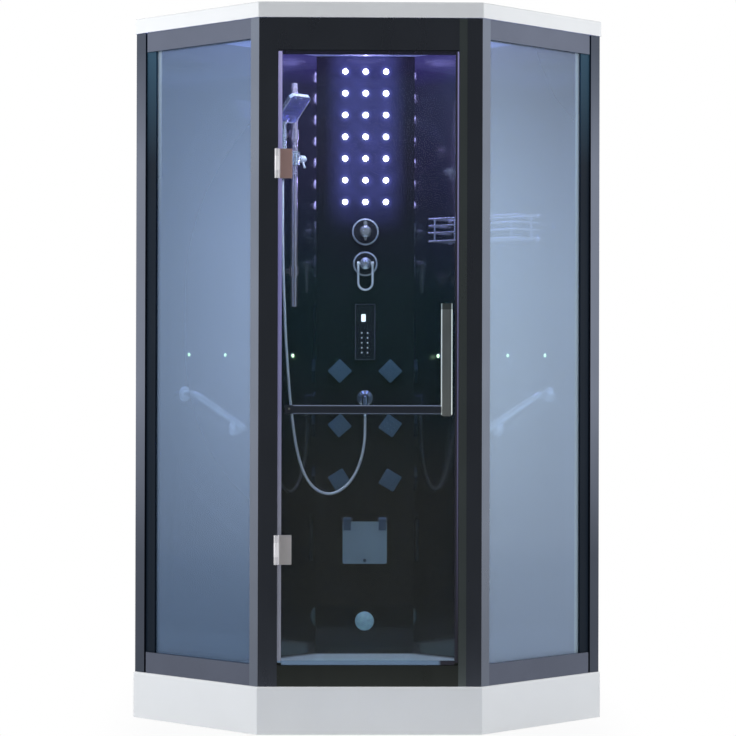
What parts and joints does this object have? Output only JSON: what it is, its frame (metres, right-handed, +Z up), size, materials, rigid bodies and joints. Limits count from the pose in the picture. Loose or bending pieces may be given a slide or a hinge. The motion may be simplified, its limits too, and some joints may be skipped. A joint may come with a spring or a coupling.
{
  "type": "corner shower cabin",
  "caption": "Corner shower cabin with a cut-off front, hinged glass door, black back walls, a fittings column with turning jets, hand shower, mixer, foot rest and roof fan.",
  "frame": {"origin": "middle of the overall box, on the floor", "axes": "+Z up, -Y towards the door, +Y towards the room corner, +X to the right as seen from the door"},
  "size_m": [1.4376, 1.151, 2.15],
  "materials": {
    "tray_acrylic": "gloss",
    "roof_acrylic": "gloss",
    "ceiling_acrylic": "gloss",
    "frame_steel": "zinc coated",
    "foot_plastic": "matte",
    "drain_chrome": "polished",
    "waste_plastic": "gloss",
    "black_glass": "black back-painted",
    "column_black": "gloss black",
    "dark_anodised": "dark anodised",
    "grey_anodised": "grey anodised",
    "black_channel": "dark anodised",
    "tinted_glass": "tinted",
    "clear_glass": "clear",
    "chrome": "polished",
    "hinge_satin": "satin",
    "pin_steel": "satin",
    "lens": "gloss translucent",
    "fan_plastic": "matte",
    "rotor_plastic": "matte",
    "valve_brass": "cast",
    "pipe_steel": "satin",
    "panel_black": "gloss black",
    "jet_satin": "satin",
    "hose_metal": "wound strip",
    "rest_satin": "satin",
    "boiler_steel": "satin",
    "seal_vinyl": "translucent grey"
  },
  "bodies": {
    "cabin": {"tray": "tray_acrylic", "tray_frame": "frame_steel", "levelling_feet": "foot_plastic", "drain_waste": "waste_plastic", "drain_grate": "drain_chrome", "roof_cover": "roof_acrylic", "ceiling_panel": "ceiling_acrylic", "column_panel": "column_black", "left_back_wall": "black_glass", "right_back_wall": "black_glass", "wall_posts": "grey_anodised", "left_corner_post": "dark_anodised", "right_corner_post": "dark_anodised", "door_header": "dark_anodised", "door_sill": "dark_anodised", "side_top_rails": "grey_anodised", "side_bottom_rails": "grey_anodised", "side_glass": "tinted_glass", "side_channels": "black_channel", "strike_profile": "dark_anodised", "hinge_leaves": "chrome", "hinge_pins": "pin_steel", "ceiling_light": "lens", "rain_head": "chrome", "fan_housing": "fan_plastic", "led_lights": "lens", "valve_plates": "chrome", "valve_bodies": "valve_brass", "pipework": "pipe_steel", "control_panel": "panel_black", "jet_bases": "chrome", "hose_outlet": "chrome", "outlet_hose_nut": "chrome", "shower_hose": "hose_metal", "riser_rail": "chrome", "wire_rack": "chrome", "grab_handles": "chrome", "foot_rest_brackets": "chrome", "steam_outlet": "chrome", "steam_generator": "boiler_steel"},
    "door": {"door_glass": "clear_glass", "door_handle": "chrome", "door_seals": "seal_vinyl", "hinge_clamps": "hinge_satin"},
    "slider": {"slider": "chrome"},
    "slider_knob": {"slider_knob": "chrome"},
    "handset_cradle": {"handset_cradle": "chrome"},
    "handset": {"hand_shower": "chrome", "handset_hose_nut": "chrome"},
    "diverter_knob": {"diverter_knob": "chrome"},
    "mixer_hub": {"mixer_hub": "chrome"},
    "mixer_lever": {"mixer_lever": "chrome"},
    "jet_1": {"jet_1": "jet_satin"},
    "jet_2": {"jet_2": "jet_satin"},
    "jet_3": {"jet_3": "jet_satin"},
    "jet_4": {"jet_4": "jet_satin"},
    "jet_5": {"jet_5": "jet_satin"},
    "jet_6": {"jet_6": "jet_satin"},
    "foot_rest": {"foot_rest": "rest_satin"},
    "fan_rotor": {"fan_rotor": "rotor_plastic"}
  },
  "joints": [
    {"name": "door_hinge", "type": "hinge", "parent": "cabin", "child": "door", "pos_m": [-0.27493, -0.53765, 1.113], "axis": [0, 0, -1], "range_deg": [0, 100]},
    {"name": "slider_slide", "type": "slide", "parent": "cabin", "child": "slider", "axis": [0, 0, 1], "range_m": [-0.32, 0.035], "deforming": ["shower_hose"]},
    {"name": "slider_knob_turn", "type": "hinge", "parent": "slider", "child": "slider_knob", "pos_m": [-0.23242, 0.20998, 1.754], "axis": [0.7071, 0.7071, 0], "range_deg": [0, 90]},
    {"name": "handset_tilt", "type": "hinge", "parent": "slider", "child": "handset_cradle", "pos_m": [-0.26848, 0.17392, 1.754], "axis": [0.7071, 0.7071, 0], "range_deg": [0, 25], "deforming": ["shower_hose"]},
    {"name": "handset_lift", "type": "slide", "parent": "handset_cradle", "child": "handset", "axis": [0, 0, 1], "range_m": [0, 0.07], "deforming": ["shower_hose"]},
    {"name": "diverter_turn", "type": "hinge", "parent": "cabin", "child": "diverter_knob", "pos_m": [0, 0.36625, 1.527], "axis": [0, -1, 0], "continuous": true},
    {"name": "mixer_turn", "type": "hinge", "parent": "cabin", "child": "mixer_hub", "pos_m": [0, 0.36625, 1.422], "axis": [0, -1, 0], "range_deg": [-45, 45]},
    {"name": "mixer_lift", "type": "hinge", "parent": "mixer_hub", "child": "mixer_lever", "pos_m": [0, 0.33425, 1.422], "axis": [-1, 0, 0], "range_deg": [0, 30]},
    {"name": "jet_1_turn", "type": "hinge", "parent": "cabin", "child": "jet_1", "pos_m": [-0.083, 0.36625, 1.07], "axis": [0, -1, 0], "continuous": true},
    {"name": "jet_2_turn", "type": "hinge", "parent": "cabin", "child": "jet_2", "pos_m": [0.083, 0.36625, 1.07], "axis": [0, -1, 0], "continuous": true},
    {"name": "jet_3_turn", "type": "hinge", "parent": "cabin", "child": "jet_3", "pos_m": [-0.083, 0.36625, 0.891], "axis": [0, -1, 0], "continuous": true},
    {"name": "jet_4_turn", "type": "hinge", "parent": "cabin", "child": "jet_4", "pos_m": [0.083, 0.36625, 0.891], "axis": [0, -1, 0], "continuous": true},
    {"name": "jet_5_turn", "type": "hinge", "parent": "cabin", "child": "jet_5", "pos_m": [-0.083, 0.36625, 0.712], "axis": [0, -1, 0], "continuous": true},
    {"name": "jet_6_turn", "type": "hinge", "parent": "cabin", "child": "jet_6", "pos_m": [0.083, 0.36625, 0.712], "axis": [0, -1, 0], "continuous": true},
    {"name": "foot_rest_fold", "type": "hinge", "parent": "cabin", "child": "foot_rest", "pos_m": [0, 0.35125, 0.584], "axis": [-1, 0, 0], "range_deg": [0, 90]},
    {"name": "fan_spin", "type": "hinge", "parent": "cabin", "child": "fan_rotor", "pos_m": [0.215, -0.08575, 2.115], "axis": [0, 0, 1], "continuous": true}
  ]
}
